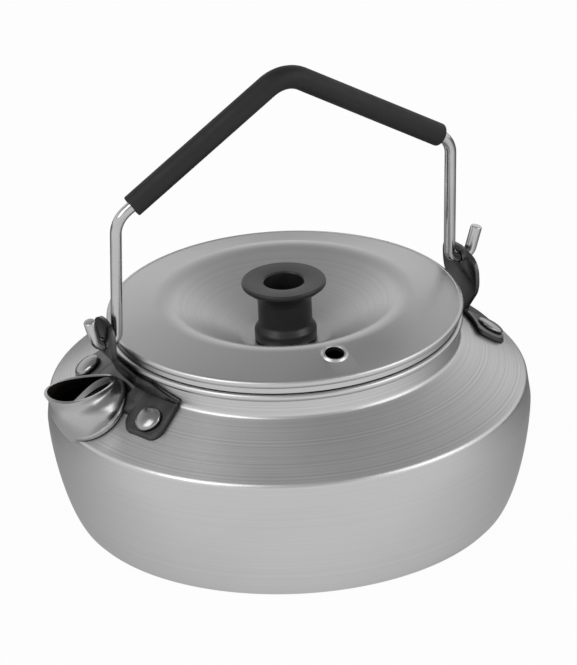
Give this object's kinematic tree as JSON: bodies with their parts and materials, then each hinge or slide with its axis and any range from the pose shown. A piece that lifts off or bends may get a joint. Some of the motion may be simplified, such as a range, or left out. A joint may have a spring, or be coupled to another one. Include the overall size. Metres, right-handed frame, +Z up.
{
  "type": "camping coffee pot",
  "caption": "Squat lidded kettle for a camp stove: spun metal body, short spout cup on the shoulder, dished lift-off lid with a knob, and a swinging wire bail with a soft grip.",
  "frame": {"origin": "centre of the flat base, on the surface the pot stands on", "axes": "+Z up through the lid's knob; the bail swings about X; the spout points along -X; a viewer stands on the -Y side"},
  "size_m": [0.1464, 0.14, 0.1395],
  "materials": {
    "spun_aluminium": "spun, fine satin",
    "spout_aluminium": "pressed, satin",
    "lid_aluminium": "spun, fine satin",
    "lug_steel": "dark, slightly polished sheet",
    "rivet_metal": "bright, domed",
    "bail_steel": "bright drawn wire",
    "fixing_steel": "zinc plated",
    "grip_rubber": "soft satin black",
    "knob_plastic": "moulded, satin gloss black"
  },
  "bodies": {
    "pot": {"body_shell": "spun_aluminium", "spout": "spout_aluminium", "front_lug": "lug_steel", "rear_lug": "lug_steel", "front_rivet_left": "rivet_metal", "front_rivet_right": "rivet_metal", "rear_rivet_left": "rivet_metal", "rear_rivet_right": "rivet_metal"},
    "lid": {"lid": "lid_aluminium", "knob": "knob_plastic", "knob_screw": "fixing_steel", "knob_washer": "fixing_steel", "knob_nut": "fixing_steel"},
    "bail": {"bail": "bail_steel", "grip_sleeve": "grip_rubber"}
  },
  "joints": [
    {"name": "lid_lift", "type": "slide", "parent": "pot", "child": "lid", "axis": [0, 0, 1], "range_m": [0, 0.025]},
    {"name": "bail_swing", "type": "hinge", "parent": "pot", "child": "bail", "pos_m": [0, 0, 0.0638], "axis": [1, 0, 0], "range_deg": [-110, 100]}
  ]
}
